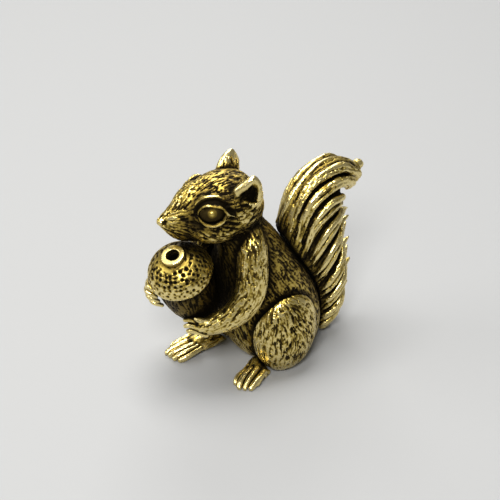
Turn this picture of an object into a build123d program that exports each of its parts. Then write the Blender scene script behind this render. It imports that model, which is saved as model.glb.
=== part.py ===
"""A small cast brass squirrel that sits up and gnaws an acorn with a rimmed blind hole for a stick.

Millimetres, +Z up. The squirrel faces -Y and its own left side is +X. The origin is under the middle of
the whole figure, on the surface that it stands on. Each section of the figure is one solid, split along a
crease of the sculpture and cut by the section that it sits against, so neighbours meet face to face.
"""

from build123d import *
from math import asin, cos, pi, radians, sin, sqrt
import os

# Torso, an egg that leans forward from the seat to the neck
torso_height = 29.0
torso_width = 16.4
torso_depth = 17.2
torso_lean = 8.6
seat_setback = 13.8

# Haunches
thigh_height = 16.6
thigh_length = 12.2
thigh_width = 8.8
thigh_rise = 7.6

# Hind feet, with their toes turned out
foot_length = 12.0
foot_width = 4.9
foot_height = 2.9
foot_stagger = 4.0
foot_shift = 0.4
toe_spread = 15.3
toe_out_left = 26.0
toe_out_right = 7.0
toe_count = 4
toe_length = 4.2

# Head, which turns to the squirrel's right
head_length = 18.2
head_width = 11.6
head_height = 10.8
head_turn = 17.0
head_shift = 1.5
head_reach = 1.8
head_rise = 2.4

# Ears, cupped leaves
ear_height = 5.4
ear_width = 5.0
ear_depth = 2.4
ear_wall = 0.6
ear_flare = 10.0

# Eyes, almonds in raised lids
eye_length = 3.9
eye_height = 2.7
eye_depth = 2.2
lid_thickness = 0.45

# Acorn, which leans away from the chest
acorn_diameter = 11.0
acorn_lean = 23.0
acorn_roll = 5.0
acorn_shift = 2.2
acorn_reach = 4.1
acorn_height = 21.3
cap_height = 4.6
cap_wall = 0.7
nut_length = 11.4
collar_diameter = 3.9
collar_height = 0.9
collar_rise = 0.45
stick_hole_diameter = 2.2
stick_hole_depth = 8.0

# Arms and the fingers that hold the acorn
shoulder_thickness = 6.2
elbow_thickness = 5.4
wrist_thickness = 3.0
palm_width = 3.8
finger_thickness = 1.1
finger_arch = 0.5
finger_count = 4

# Tail, a plume of carved locks that curls back at its top
tail_height = 34.0
tail_reach = 10.0
tail_depth = 12.6
tail_width = 8.4
tail_sway = 2.0
groove_depth = 1.2
groove_width = 1.9

# Shares of the torso's height and lean, of its half width, and of its half depth in front and behind
torso_shares = (
    (0.00, 0.00, 0.70, 0.66, 0.66),
    (0.07, 0.00, 0.88, 0.86, 0.86),
    (0.21, 0.05, 1.00, 1.00, 1.00),
    (0.35, 0.10, 0.99, 1.04, 0.98),
    (0.49, 0.20, 0.93, 1.04, 0.90),
    (0.63, 0.37, 0.85, 0.90, 0.79),
    (0.77, 0.58, 0.74, 0.70, 0.68),
    (0.90, 0.80, 0.62, 0.56, 0.58),
    (1.00, 0.97, 0.52, 0.48, 0.50),
)

# Shares of the thigh's length and of the torso's half width, for the middle of a thigh
thigh_ahead_share = 0.21
thigh_out_share = 0.73

# Shares of a foot's length from its toes, of its half width and of its height
foot_shares = ((1.00, 0.62, 0.90), (0.75, 0.86, 1.00), (0.50, 1.00, 0.92), (0.30, 0.94, 0.66))
# Shares of a toe's length from its tip, of the foot's height, and of the toe's own thickness
toe_shares = (
    (1.30, 0.50, 0.8),
    (0.90, 0.46, 1.0),
    (0.55, 0.38, 1.0),
    (0.25, 0.26, 0.9),
    (0.08, 0.16, 0.6),
    (0.00, 0.06, 0.0),
)
toe_arch_share = 0.30
toe_fan_share = 0.25
toe_plump_share = 0.58

# Shares of the head's length behind the nose, of its height for the middle line, and of its half sizes
head_shares = (
    (0.02, -0.05, 0.12, 0.14, 0.14),
    (0.09, -0.06, 0.28, 0.34, 0.42),
    (0.18, -0.06, 0.43, 0.54, 0.70),
    (0.30, -0.04, 0.60, 0.74, 0.86),
    (0.44, 0.00, 0.82, 0.96, 0.94),
    (0.60, 0.02, 1.00, 1.04, 0.98),
    (0.76, 0.02, 0.98, 0.98, 0.94),
    (0.90, 0.00, 0.70, 0.70, 0.70),
    (0.98, 0.00, 0.30, 0.30, 0.30),
)
skull_share = 0.60

# Shares of the head's length, half width and half height, for the base of an ear and the middle of an eye
ear_base_shares = (0.16, 0.68, 0.50)
ear_slope_shares = (
    (0.00, 0.90, 0.90),
    (0.22, 1.00, 1.00),
    (0.50, 0.92, 0.86),
    (0.76, 0.62, 0.60),
    (0.93, 0.26, 0.34),
)
ear_back_lean_share = 0.25
ear_face_share = 0.40
ear_sink_share = 0.16
eye_place_shares = (-0.15, 0.76, 0.36)
lid_opening_shares = (0.86, 0.80)

# Shares of the nut's length below the cap and of its radius there, and of the cap's wall for its lip
nut_shares = ((0, 1.00), (0.25, 0.99), (0.50, 0.92), (0.74, 0.75), (0.91, 0.46))
lip_drop_share = 1.1
lip_width_share = 0.6

# Shares of the torso's half width and height, and of its half depth for the way ahead of its middle line
shoulder_shares = (0.58, 0.84, 0.34)
left_elbow_shares = (0.88, 0.55, 0.76)
right_elbow_shares = (0.86, 0.56, 0.90)
# Wrist and palm: shares of the acorn's radius from its middle, aside, ahead and up
left_wrist_shares = (1.25, -0.51, -1.53)
left_palm_shares = (0.75, -0.04, -1.72)
right_wrist_shares = (1.16, -0.84, -1.24)
right_palm_shares = (1.22, 0.05, -1.02)
# Degrees round the nut where fingers meet it and end, and shares down it for the fingers and the thumb
left_finger_turns = (46.0, 74.0)
right_finger_turns = (44.0, 82.0)
left_finger_shares = (0.66, 0.92)
right_finger_shares = (0.24, 0.60)
left_thumb_share = 0.50
right_thumb_share = 0.76
thumb_turn_share = 0.6
sleeve_share = 0.97
palm_share = 0.86

# Shares of the tail's reach and height along its spine, and of its half width and half depth there
tail_shares = (
    (0.08, 0.03, 0.42, 0.34),
    (0.16, 0.16, 0.74, 0.58),
    (0.10, 0.34, 0.92, 0.74),
    (-0.10, 0.54, 1.00, 0.90),
    (-0.20, 0.70, 1.00, 1.00),
    (-0.02, 0.83, 0.92, 0.84),
    (0.38, 0.89, 0.70, 0.56),
    (0.76, 0.86, 0.40, 0.32),
)
tail_tip_share = (0.99, 0.82)
tail_seat_share = 0.92

# The grooves between the locks of a flank: shares of the spine where each starts and ends, shares of the
# tail's half depth there, from its front to its back, and how late each swings back
groove_shares = (
    (0.035, 0.13, -0.55, 1.25, 1.0),
    (0.125, 0.22, -0.55, 1.25, 1.0),
    (0.215, 0.31, -0.55, 1.25, 1.0),
    (0.305, 0.40, -0.55, 1.25, 1.0),
    (0.395, 0.53, -0.55, 1.25, 1.0),
    (0.475, 0.70, -0.58, 1.25, 1.1),
    (0.525, 0.90, -0.68, 1.25, 1.5),
    (0.565, 1.00, -0.86, 0.90, 2.0),
)
# Along a groove: shares of its way and of its depth
groove_depth_shares = ((0.0, 0.1), (0.25, 0.8), (0.5, 1.0), (0.75, 1.2), (1.0, 1.5))
rim_share = 0.97
from_below = (Align.CENTER, Align.CENTER, Align.MIN)
egg_points = 8
toe_corners = 6
forward = Vector(0, -1, 0)
upward = Vector(0, 0, 1)
leftward = Vector(1, 0, 0)


def outline(centre, along, side, across, over, under, corners=egg_points, smooth=True):
    """An egg square to a direction: a half width, and a half height on either side of it."""
    along = along.normalized()
    side = (side - along * side.dot(along)).normalized()
    spots = []
    for k in range(corners):
        turn = 2 * pi * k / corners
        reach = over if sin(turn) > 0 else under
        spots.append((across * cos(turn), reach * sin(turn)))
    edge = Spline(*spots, periodic=True) if smooth else Polyline(*spots, close=True)
    return Plane(origin=centre, x_dir=side, z_dir=along) * make_face(edge)


def tangents(spots):
    """The direction of a path at each of its points."""
    last = len(spots) - 1
    return [spots[min(k + 1, last)] - spots[max(k - 1, 0)] for k in range(len(spots))]


def limb(stations, side, tip=None):
    """A smooth solid through eggs along a path, drawn to a point where a tip is given."""
    spots = [station[0] for station in stations]
    faces = []
    for (spot, across, over, under), along in zip(stations, tangents(spots)):
        faces.append(outline(spot, along, side, across, over, under))
    if tip is not None:
        faces.append(Vertex(*tip))
    return loft(faces)


def strand(spots, across, over, side, corners, shares):
    """A faceted strand along a path, thick by shares, that ends in a point."""
    faces = []
    for spot, along, share in zip(spots[:-1], tangents(spots)[:-1], shares):
        high = over * share
        faces.append(outline(spot, along, side, across * share, high, high, corners, False))
    faces.append(Vertex(*spots[-1]))
    return loft(faces, ruled=True)


def link(start, end, first, last):
    """A tapered round bar between two places, with a ball at each end."""
    along = end - start
    slope = asin((first - last) / along.length)
    low = (first * cos(slope), first * sin(slope))
    high = (last * cos(slope), along.length + last * sin(slope))
    top = (0, along.length + last)
    turn = (slope - pi / 2) / 2
    lower = ThreePointArc((0, -first), (first * cos(turn), first * sin(turn)), low)
    turn = (slope + pi / 2) / 2
    upper = ThreePointArc(high, (last * cos(turn), along.length + last * sin(turn)), top)
    profile = Plane.XZ * make_face(Curve() + [lower, Line(low, high), upper, Line(top, (0, -first))])
    return Plane(origin=start, z_dir=along) * revolve(profile, Axis.Z)


def ball(across, along, up):
    """A ball stretched to three sizes."""
    return scale(Sphere(up / 2), by=(across / up, along / up, 1))


def above_ground(shape):
    """What of a solid lies above the surface that the figure stands on."""
    size = 2 * (tail_height + torso_height)
    return shape & Pos(0, 0, size / 2) * Box(size, size, size)


def torso_spot(height_share, lean_share):
    """A place on the torso's leaning middle line."""
    return Vector(0, seat_setback - torso_lean * lean_share, torso_height * height_share)


def make_torso():
    """The seat, belly, chest and neck in one leaning egg."""
    faces = []
    half = torso_depth / 2
    for height, lean, width, front, back in torso_shares:
        spot = torso_spot(height, lean)
        faces.append(outline(spot, upward, leftward, torso_width / 2 * width, half * back, half * front))
    return loft(faces)


def make_thigh():
    """The left haunch, a flattened ball against the seat."""
    middle = seat_setback - thigh_length * thigh_ahead_share
    place = Pos(torso_width / 2 * thigh_out_share, middle, thigh_rise)
    return place * ball(thigh_width, thigh_length, thigh_height)


def make_foot(sign, toe_out, step):
    """A hind foot, low and flat, that ends in toes side by side."""
    tip = Vector(sign * toe_spread / 2 - foot_shift, step - foot_shift, 0)
    along = Vector(sign * sin(radians(toe_out)), -cos(radians(toe_out)), 0)
    side = upward.cross(along)
    stations = []
    for back, wide, high in foot_shares:
        spot = tip - along * foot_length * back
        stations.append((spot, foot_width / 2 * wide, foot_height * high, foot_height * high))
    foot = limb(stations, side)
    plump = foot_width / toe_count * toe_plump_share
    for k in range(toe_count):
        place = (k + 1 / 2) / toe_count - 1 / 2
        set_back = toe_length * toe_arch_share * (2 * place) ** 2
        spots = []
        for back, high, _ in toe_shares:
            out = side * foot_width * place * (1 - back * toe_fan_share)
            spots.append(tip - along * (toe_length * back + set_back) + out + upward * foot_height * high)
        foot += strand(spots, plump, plump, side, toe_corners, [share for _, _, share in toe_shares])
    return above_ground(foot)


def head_frame():
    """The head's own directions, ahead to the nose and to its left, and the middle of its skull."""
    ahead = Vector(-sin(radians(head_turn)), -cos(radians(head_turn)), 0)
    left = ahead.cross(upward) * -1
    neck = torso_spot(*torso_shares[-1][:2])
    skull = neck + upward * head_rise - leftward * head_shift + forward * head_reach
    return ahead, left, skull


def head_spot(shares):
    """A place by shares of the head's length behind the skull, and of its half width and half height."""
    ahead, left, skull = head_frame()
    behind, aside, above = shares
    step = left * head_width / 2 * aside + upward * head_height / 2 * above
    return skull - ahead * head_length * behind + step


def make_head():
    """The skull, brow, cheeks and muzzle."""
    ahead, left, skull = head_frame()
    half = head_height / 2
    faces = []
    for back, rise, width, top, bottom in head_shares:
        spot = skull + ahead * head_length * (skull_share - back) + upward * head_height * rise
        faces.append(outline(spot, ahead * -1, left, head_width / 2 * width, half * bottom, half * top))
    return loft(faces)


def make_ear(sign):
    """A pointed leaf with a hollow that faces ahead and outward."""
    ahead, left, _ = head_frame()
    behind, aside, above = ear_base_shares
    base = head_spot((behind, sign * aside, above))
    out = left * sign
    rise = (upward + out * sin(radians(ear_flare)) - ahead * ear_back_lean_share).normalized()
    face = (ahead * ear_face_share + out).normalized()
    side = rise.cross(face).normalized()
    leaf = []
    hollow = []
    for up, wide, deep in ear_slope_shares:
        spot = base + rise * ear_height * (up - ear_sink_share)
        half = ear_width / 2 * wide
        thick = ear_depth / 2 * deep
        inner = max(half - ear_wall, ear_wall / 2)
        leaf.append(outline(spot, rise, side, half, thick, thick))
        hollow.append(outline(spot + face * ear_depth / 2, rise, side, inner, thick, thick))
    tip = base + rise * ear_height * (1 - ear_sink_share)
    leaf.append(Vertex(*tip))
    return loft(leaf) - loft(hollow[1:])


def eye_frame(sign):
    """The plane of an eye: its middle, facing out of the head, with its length running back."""
    ahead, left, _ = head_frame()
    behind, aside, above = eye_place_shares
    spot = head_spot((behind, sign * aside, above))
    facing = (left * sign + ahead / 2 + upward / 3).normalized()
    run = (ahead * -1 + facing * ahead.dot(facing)).normalized()
    return Plane(origin=spot, x_dir=run, z_dir=facing)


def make_eye(sign):
    """An almond bead."""
    return eye_frame(sign) * ball(eye_length, eye_height, eye_depth)


def make_lids(sign):
    """A raised shell over the eye, open in the middle."""
    outer = [size + 2 * lid_thickness for size in (eye_length, eye_height, eye_depth)]
    opening = Ellipse(eye_length / 2 * lid_opening_shares[0], eye_height / 2 * lid_opening_shares[1])
    return eye_frame(sign) * (ball(*outer) - extrude(opening, amount=2 * eye_depth))


def acorn_frame():
    """The plane through the middle of the acorn, square to its leaning axis."""
    lean = radians(acorn_lean)
    axis = Vector(sin(radians(acorn_roll)), -sin(lean), cos(lean)).normalized()
    side = (leftward - axis * axis.dot(leftward)).normalized()
    return Plane(origin=(-acorn_shift, -acorn_reach, acorn_height), x_dir=side, z_dir=axis)


def stick_hole():
    """The blind hole for the stick, from above the collar down into the nut."""
    bottom = cap_height + collar_rise - stick_hole_depth
    return Pos(0, 0, bottom) * Cylinder(stick_hole_diameter / 2, 2 * stick_hole_depth, align=from_below)


def quarter(across, up):
    """A quarter of an ellipse, from the side to the axis."""
    return Bezier((across, 0), (across, up), (0, up), weights=(1, sqrt(1 / 2), 1))


def turned(*edges):
    """A solid turned about the acorn's axis, from a profile beside it."""
    return revolve(Plane.XZ * make_face(Curve() + list(edges)), Axis.Z)


def make_nut():
    """The nut, a rounded body that fills the cap and comes to a blunt point below it."""
    radius = acorn_diameter / 2 - cap_wall
    dome = cap_height - cap_wall
    points = [(radius * across, -nut_length * down) for down, across in nut_shares]
    lower = Spline(*points, (0, -nut_length), tangents=((0, -1), (-1, 0)))
    return turned(lower, quarter(radius, dome), Line((0, dome), (0, -nut_length))) - stick_hole()


def make_cap():
    """The cup of the acorn, a domed shell with a lip that stands proud of the nut."""
    radius = acorn_diameter / 2
    lip = cap_wall * lip_drop_share
    inner = radius - cap_wall * lip_width_share
    rim = Line((radius, 0), (inner, -lip))
    floor = Line((inner, -lip), (0, -lip))
    return turned(quarter(radius, cap_height), rim, floor, Line((0, -lip), (0, cap_height)))


def make_collar():
    """The raised rim round the stick's hole, seated in the cap."""
    seat = cap_height + collar_rise - collar_height
    return Pos(0, 0, seat) * Cylinder(collar_diameter / 2, collar_height, align=from_below) - stick_hole()


def main_lump(shape):
    """A cut piece without slivers."""
    return max(shape.solids(), key=lambda solid: solid.volume)


def between(stations, share):
    """The values of a table at a share, read between its rows. The share is each row's first value."""
    for low, high in zip(stations, stations[1:]):
        if share <= high[0]:
            part = (share - low[0]) / (high[0] - low[0])
            return [a + (b - a) * part for a, b in zip(low[1:], high[1:])]
    return list(stations[-1][1:])


def on_nut(sign, turn, down, lift):
    """A place off the nut: degrees round it from its side to ahead, a share down it, and how far off."""
    radius = acorn_diameter / 2 - cap_wall
    if down > 0:
        radius *= between(nut_shares + ((1, 0),), down)[0]
    radius += lift
    aside = sign * radius * cos(radians(turn))
    return acorn_frame().from_local_coords((aside, -radius * sin(radians(turn)), -nut_length * down))


def make_finger(sign, palm, turns, down):
    """A finger from the palm round the nut, at a share down it, with a round tip."""
    half = finger_thickness / 2
    knuckle = on_nut(sign, turns[0], down, half + finger_arch)
    tip = on_nut(sign, turns[1], down, half)
    path = ThreePointArc(palm, knuckle, tip)
    section = Plane(origin=path @ 0, z_dir=path % 0) * Circle(half)
    return sweep(section, path) + Pos(*tip) * Sphere(half)


def make_arm(sign, elbow_shares, wrist_shares, palm_shares, turns, rows, thumb):
    """A shoulder, a bent arm and a paw whose fingers close on the acorn."""
    joints = []
    for out, height, ahead in (shoulder_shares, elbow_shares):
        spot = torso_spot(height, height * height) + forward * torso_depth / 2 * ahead
        joints.append(spot + leftward * sign * torso_width / 2 * out)
    for out, ahead, above in (wrist_shares, palm_shares):
        step = leftward * sign * out + forward * ahead + upward * above
        joints.append(acorn_frame().origin + step * acorn_diameter / 2)
    shoulder, elbow, wrist, palm = joints
    halves = [size / 2 for size in (shoulder_thickness, elbow_thickness, wrist_thickness, palm_width)]
    arm = link(shoulder, elbow, halves[0], halves[1])
    arm += link(elbow, wrist, halves[1] * sleeve_share, halves[2])
    arm += link(wrist, palm, halves[2] * sleeve_share, halves[3] * palm_share)
    first, last = rows
    for k in range(finger_count):
        arm += make_finger(sign, palm, turns, first + (last - first) * k / (finger_count - 1))
    thumb_turns = (turns[0], turns[0] + (turns[1] - turns[0]) * thumb_turn_share)
    return arm + make_finger(sign, palm, thumb_turns, thumb)


def tail_root():
    """Where the tail's own middle line starts, behind the seat."""
    return Vector(tail_sway, seat_setback + torso_depth / 2 * tail_seat_share, 0)


def tail_spot(share, across):
    """A place on the tail's left flank, a share up its spine and one of its half depth, and the way out."""
    count = len(tail_shares) - 1
    rows = [(k / count, *row) for k, row in enumerate(tail_shares)]
    reach, rise, wide, deep = between(rows, share)
    before = between(rows, max(share - 1 / count, 0))
    after = between(rows, min(share + 1 / count, 1))
    run = Vector(0, (after[0] - before[0]) * tail_reach, (after[1] - before[1]) * tail_height).normalized()
    back = run.cross(leftward)
    width = tail_width / 2 * wide
    depth = tail_depth / 2 * deep
    side = width * sqrt(1 - min(abs(across), rim_share) ** 2)
    spot = tail_root() + Vector(0, tail_reach * reach, tail_height * rise)
    out = leftward * side / width**2 + back * across / depth
    return spot + back * depth * across + leftward * side, out.normalized()


def make_groove(start, end, front, rear, swing):
    """A deepening V that rises across the tail's left flank and notches its rear edge."""
    spots = []
    outs = []
    for way, _ in groove_depth_shares:
        across = front + (rear - front) * way**swing
        spot, out = tail_spot(start + (end - start) * sin(way * pi / 2), across)
        spots.append(spot)
        outs.append(out)
    corners = []
    for spot, out, along, (_, deep) in zip(spots, outs, tangents(spots), groove_depth_shares):
        along = along.normalized()
        out = (out - along * out.dot(along)).normalized()
        half = along.cross(out) * groove_width / 2 * (1 + deep)
        high = spot + out * groove_depth
        corners.append(Wire.make_polygon([spot - out * groove_depth * deep, high + half, high - half]))
    return Solid.make_loft(corners)


def make_tail():
    """The plume, carved into locks on both flanks and drawn to a tip that curls back."""
    stations = []
    for reach, rise, wide, deep in tail_shares:
        spot = tail_root() + Vector(0, tail_reach * reach, tail_height * rise)
        stations.append((spot, tail_width / 2 * wide, tail_depth / 2 * deep, tail_depth / 2 * deep))
    tip = tail_root() + Vector(0, tail_reach * tail_tip_share[0], tail_height * tail_tip_share[1])
    grooves = [make_groove(*row) for row in groove_shares]
    middle = Plane(origin=(tail_sway, 0, 0), z_dir=leftward)
    grooves += [mirror(groove, middle) for groove in grooves]
    return above_ground(limb(stations, leftward, tip) - grooves)


def stand(parts):
    """Everything moved so that the origin is under the middle of the figure."""
    box = Compound(list(parts.values())).bounding_box()
    middle = box.center()
    return {name: Pos(-middle.X, -middle.Y, -box.min.Z) * shape for name, shape in parts.items()}


def make_parts():
    """Every section of the figure, each cut by what it sits against."""
    nut = acorn_frame() * make_nut()
    collar = acorn_frame() * make_collar()
    cap = acorn_frame() * (make_cap() - stick_hole()) - nut - collar
    acorn = [nut, cap, collar]
    torso = make_torso() - acorn
    head = make_head() + [make_lids(1), make_lids(-1)] - torso - acorn
    eyes = [make_eye(1), make_eye(-1)]
    head -= eyes
    ears = [make_ear(1) - head, make_ear(-1) - head]
    tail = make_tail() - torso
    thigh = above_ground(make_thigh())
    thighs = [thigh - torso - tail, mirror(thigh, Plane.YZ) - torso - tail]
    feet = [
        make_foot(1, toe_out_left, foot_stagger / 2) - thighs[0] - torso,
        make_foot(-1, toe_out_right, -foot_stagger / 2) - thighs[1] - torso,
    ]
    left = make_arm(
        1,
        left_elbow_shares,
        left_wrist_shares,
        left_palm_shares,
        left_finger_turns,
        left_finger_shares,
        left_thumb_share,
    )
    right = make_arm(
        -1,
        right_elbow_shares,
        right_wrist_shares,
        right_palm_shares,
        right_finger_turns,
        right_finger_shares,
        right_thumb_share,
    )
    arms = [
        main_lump(left - torso - acorn - thighs[0] - head),
        main_lump(right - torso - acorn - thighs[1] - head),
    ]
    return {
        "torso": torso,
        "head": head,
        "ear_left": ears[0],
        "ear_right": ears[1],
        "eye_left": eyes[0],
        "eye_right": eyes[1],
        "arm_left": arms[0],
        "arm_right": arms[1],
        "acorn_nut": nut,
        "acorn_cap": cap,
        "stick_collar": collar,
        "thigh_left": thighs[0],
        "thigh_right": thighs[1],
        "foot_left": feet[0],
        "foot_right": feet[1],
        "tail": tail,
    }


parts = stand(make_parts())
os.makedirs("parts", exist_ok=True)
for name, shape in parts.items():
    export_step(shape, f"parts/{name}.step")
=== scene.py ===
"""Looks for the small cast squirrel: one sculpted skin, cut into the figure's pieces, in antiqued brass."""
import math
from copy import copy
import bpy
import numpy as np
import openvdb as vdb
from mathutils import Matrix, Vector


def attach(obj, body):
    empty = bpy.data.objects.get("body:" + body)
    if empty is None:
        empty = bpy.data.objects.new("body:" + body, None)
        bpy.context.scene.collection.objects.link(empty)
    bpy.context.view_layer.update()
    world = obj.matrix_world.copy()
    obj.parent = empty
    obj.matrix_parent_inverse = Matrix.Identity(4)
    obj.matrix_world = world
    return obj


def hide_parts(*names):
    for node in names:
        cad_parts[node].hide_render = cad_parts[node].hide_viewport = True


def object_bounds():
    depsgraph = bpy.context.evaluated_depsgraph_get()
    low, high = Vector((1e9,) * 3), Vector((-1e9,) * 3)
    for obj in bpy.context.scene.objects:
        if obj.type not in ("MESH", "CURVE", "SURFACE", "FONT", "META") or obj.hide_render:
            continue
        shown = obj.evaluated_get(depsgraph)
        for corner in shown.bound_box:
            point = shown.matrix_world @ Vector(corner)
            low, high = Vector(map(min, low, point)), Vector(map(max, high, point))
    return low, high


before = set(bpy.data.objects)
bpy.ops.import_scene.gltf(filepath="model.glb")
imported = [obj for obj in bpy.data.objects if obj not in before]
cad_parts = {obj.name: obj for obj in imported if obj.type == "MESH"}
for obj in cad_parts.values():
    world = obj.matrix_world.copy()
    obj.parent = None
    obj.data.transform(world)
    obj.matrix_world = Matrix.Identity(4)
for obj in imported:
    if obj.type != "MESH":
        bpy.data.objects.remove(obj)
cad_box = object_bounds()

# Lengths are in millimetres in the part's frame, but for the lamps and the floor, which are in metres
MM = 0.001
voxel = 0.12
# Distances are known up to the band, and a window leaves a little more room than that round its node
band = 2.0
edge_room = 2.4
up = (0, 0, 1)

# The camera, as the photograph was taken
camera_place = (194.50, -165.50, 195.70)
camera_aim = (-0.63132, 0.52974, -0.56641)
camera_lens = 134.2
camera_sensor = 36
camera_near_clip = 10


def array(*values):
    return np.array(values, np.float32)


low = np.array(cad_box[0], float) / MM - edge_room
high = np.array(cad_box[1], float) / MM + edge_room
counts = np.ceil((high - low) / voxel).astype(int) + 1
xs, ys, zs = [(low[i] + voxel * np.arange(counts[i])).astype(np.float32) for i in range(3)]


class Window:
    """A box of the grid round some points, with the coordinates of its cells."""

    def __init__(self, points, room):
        points = np.asarray(points, float).reshape(-1, 3)
        first = np.floor((points.min(0) - room - low) / voxel).astype(int)
        last = np.ceil((points.max(0) + room - low) / voxel).astype(int) + 1
        self.first = np.clip(first, 0, counts - 1)
        self.last = np.clip(last, self.first + 1, counts)
        self.place()

    def place(self):
        sx, sy, sz = self.slices = tuple(slice(a, b) for a, b in zip(self.first, self.last))
        self.x = xs[sx, None, None]
        self.y = ys[None, sy, None]
        self.z = zs[None, None, sz]

    def clip(self, other):
        """Keep what lies in another window."""
        self.first = np.maximum(self.first, other.first)
        self.last = np.minimum(self.last, other.last)
        self.empty = bool((self.last <= self.first).any())
        if not self.empty:
            self.place()

    def within(self, other):
        """This window's cells, counted in another window."""
        return tuple(slice(a - c, b - c) for a, b, c in zip(self.first, self.last, other.first))


def smooth_min(a, b, blend):
    if blend <= 0:
        return np.minimum(a, b)
    mix = np.maximum(blend - np.abs(a - b), 0)
    return np.minimum(a, b) - mix * mix / (4 * blend)


def smooth_max(a, b, blend):
    return -smooth_min(-a, -b, blend)


def cone(w, a, b, ra, rb):
    """Distance to a round bar that tapers from a to b."""
    a, b = np.asarray(a, float), np.asarray(b, float)
    run = b - a
    square = max(float(run @ run), 1e-9)
    px, py, pz = w.x - np.float32(a[0]), w.y - np.float32(a[1]), w.z - np.float32(a[2])
    t = np.clip((px * run[0] + py * run[1] + pz * run[2]) / square, 0, 1).astype(np.float32)
    dx, dy, dz = px - t * run[0], py - t * run[1], pz - t * run[2]
    return (np.sqrt(dx * dx + dy * dy + dz * dz) - (ra + (rb - ra) * t)).astype(np.float32)


def egg(w, centre, radii, axes=None):
    """Distance to an ellipsoid, near its skin."""
    c = np.asarray(centre, float)
    px, py, pz = w.x - c[0], w.y - c[1], w.z - c[2]
    if axes is not None:
        axes = np.asarray(axes, float)
        px, py, pz = [px * r[0] + py * r[1] + pz * r[2] for r in axes]
    rx, ry, rz = radii
    k0 = np.sqrt((px / rx) ** 2 + (py / ry) ** 2 + (pz / rz) ** 2)
    k1 = np.sqrt((px / rx ** 2) ** 2 + (py / ry ** 2) ** 2 + (pz / rz ** 2) ** 2)
    return (k0 * (k0 - 1) / np.maximum(k1, tiny)).astype(np.float32)


# Over the whole grid: the distance to the figure's skin, the section that owns a cell and how near it is,
# the dark patina laid in hollows with the painted shade laid under the jaw and behind the acorn, where
# strokes are held back, and how deep the strokes are cut
nobody = 255
skin = np.full(counts, band, np.float32)
owner = np.full(counts, nobody, np.uint8)
closest = np.full(counts, band, np.float32)
stains_and_shade = np.zeros(counts, np.float32)
calm = np.zeros(counts, np.float32)
ink = np.zeros(counts, np.float32)
names = []

crease_width = 0.4
path_steps = 4
settle_rounds = 5
hush_fade = 0.2
strand_room = 2.2
tiny = 1e-6


def unit(v):
    """A vector of length 1."""
    v = np.asarray(v, float)
    return v / np.linalg.norm(v)


def node_points(name):
    """The corners of a CAD node's mesh, and its triangles."""
    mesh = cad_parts[name].data
    co = np.empty(len(mesh.vertices) * 3, np.float32)
    mesh.vertices.foreach_get("co", co)
    mesh.calc_loop_triangles()
    tri = np.empty(len(mesh.loop_triangles) * 3, np.int32)
    mesh.loop_triangles.foreach_get("vertices", tri)
    return co.reshape(-1, 3) / MM, tri.reshape(-1, 3)


def node_field(name):
    """Signed distances to a CAD node, on the window round it."""
    points, tri = node_points(name)
    w = Window(points, edge_room)
    shift = low + w.first * voxel
    grid = vdb.FloatGrid.createLevelSetFromPolygons(
        (points - shift).astype(np.float32),
        triangles=tri.astype(np.uint32),
        transform=vdb.createLinearTransform(voxelSize=voxel),
        halfWidth=band / voxel,
    )
    field = np.full(w.last - w.first, band, np.float32)
    grid.copyToArray(field)
    return w, field


def claim(name, w, field):
    """A node owns the cells that are nearest to it."""
    names.append(name)
    mine = field < closest[w.slices]
    owner[w.slices][mine] = len(names) - 1
    closest[w.slices][mine] = field[mine]


def join(w, field, blend, crease=0.0):
    """Add a section to the skin, softly, with a crease cut along the seam."""
    before = skin[w.slices].copy()
    seam = np.exp(-(((before - field) / crease_width) ** 2))
    skin[w.slices] = smooth_min(before, field, blend) + crease * seam


def smoothed(points):
    """A smooth path through some places."""
    p = np.asarray(points, float)
    p = np.vstack([2 * p[0] - p[1], p, 2 * p[-1] - p[-2]])
    out = []
    for k in range(1, len(p) - 2):
        a, b, c, d = p[k - 1:k + 3]
        for t in np.arange(path_steps) / path_steps:
            bend = (2 * a - 5 * b + 4 * c - d) * t * t + (3 * b - a - 3 * c + d) * t ** 3
            out.append(0.5 * (2 * b + (c - a) * t + bend))
    out.append(p[-2])
    return np.array(out)


def sample(volume, points, origin, step):
    """Values of a volume at points, read between its cells."""
    q = (points - origin) / step
    top = np.array(volume.shape) - 2
    i = np.clip(np.floor(q).astype(np.int32), 0, top)
    f = np.clip(q - i, 0, 1).astype(np.float32)
    out = np.zeros(len(points), np.float32)
    for dx in (0, 1):
        wx = f[:, 0] if dx else 1 - f[:, 0]
        for dy in (0, 1):
            wy = f[:, 1] if dy else 1 - f[:, 1]
            for dz in (0, 1):
                wz = f[:, 2] if dz else 1 - f[:, 2]
                out += wx * wy * wz * volume[i[:, 0] + dx, i[:, 1] + dy, i[:, 2] + dz]
    return out


def settle(w, field, points, lift=0.0):
    """Places moved square to a skin until they lie on it, or off it by a lift."""
    p = np.asarray(points, np.float32).reshape(-1, 3)
    origin = (low + w.first * voxel).astype(np.float32)
    for _ in range(settle_rounds):
        away = sample(field, p, origin, voxel) - lift
        slope = []
        for k in range(3):
            step = np.zeros(3, np.float32)
            step[k] = voxel
            slope.append(sample(field, p + step, origin, voxel) - sample(field, p - step, origin, voxel))
        slope = np.stack(slope, 1)
        slope /= np.maximum(np.linalg.norm(slope, axis=1, keepdims=True), tiny)
        p = p - slope * away[:, None]
    return p


def stain_and_shade(w, away, amount, reach):
    """Darkness laid over a region, fading off it: patina in hollows, and painted shade in the eye sockets,
    under the jaw and behind the acorn.
    """
    dark = amount * np.clip(1 - away / reach, 0, 1).astype(np.float32)
    stains_and_shade[w.slices] = np.maximum(stains_and_shade[w.slices], dark)


def hush(w, away):
    """Keep the fur's strokes off what is worn smooth."""
    smooth = np.clip(1 - away / hush_fade, 0, 1).astype(np.float32)
    calm[w.slices] = np.maximum(calm[w.slices], smooth)


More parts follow.
